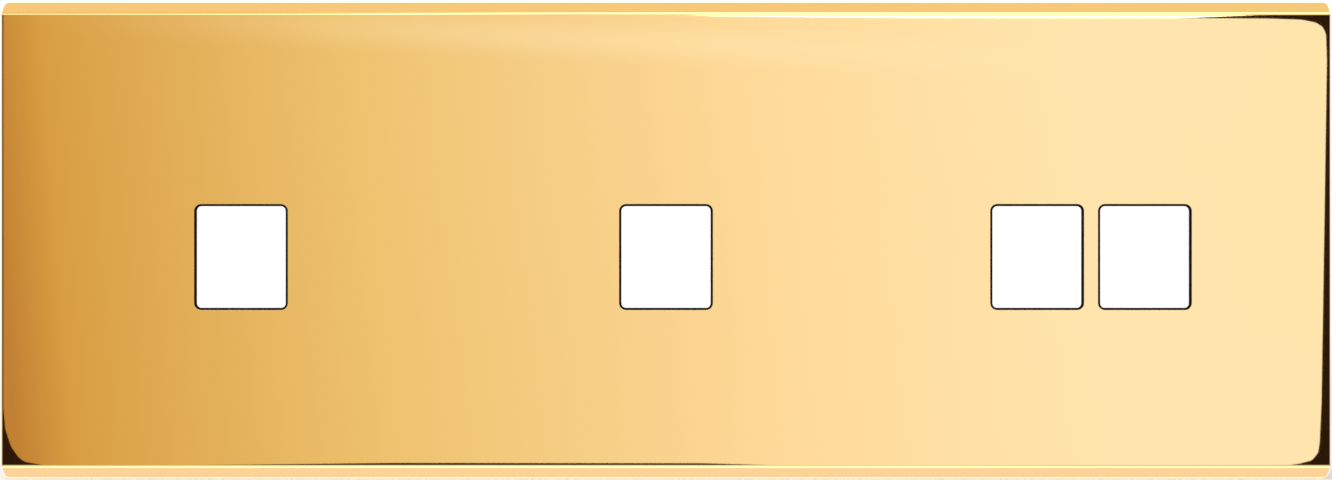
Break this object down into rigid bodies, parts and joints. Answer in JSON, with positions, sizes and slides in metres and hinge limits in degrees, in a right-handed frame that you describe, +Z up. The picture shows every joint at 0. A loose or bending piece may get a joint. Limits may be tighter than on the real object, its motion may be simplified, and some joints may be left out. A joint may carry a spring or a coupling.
{
  "type": "switch plate",
  "caption": "Wide polished brass cover plate with small rounded openings for snap-in modules, leaning top and bottom sides, black moulded inserts and spring clips behind.",
  "frame": {"origin": "centre of the wall plane, on which the plate's rear rim rests", "axes": "+X to the right as seen from the front, +Y into the wall, +Z up; the polished face looks along -Y"},
  "size_m": [0.222, 0.012, 0.08],
  "materials": {
    "polished_brass": "mirror polished and lacquered",
    "black_plastic": "moulded, fine matt grain",
    "plated_steel": "zinc plated",
    "spring_steel": "rolled stainless strip"
  },
  "bodies": {
    "root": {"face_plate": "polished_brass", "left_insert": "black_plastic", "middle_insert": "black_plastic", "right_insert": "black_plastic", "fixing_screws": "plated_steel", "left_top_clip": "spring_steel", "left_bottom_clip": "spring_steel", "middle_top_clip": "spring_steel", "middle_bottom_clip": "spring_steel", "right_top_clip": "spring_steel", "right_bottom_clip": "spring_steel"}
  },
  "joints": []
}
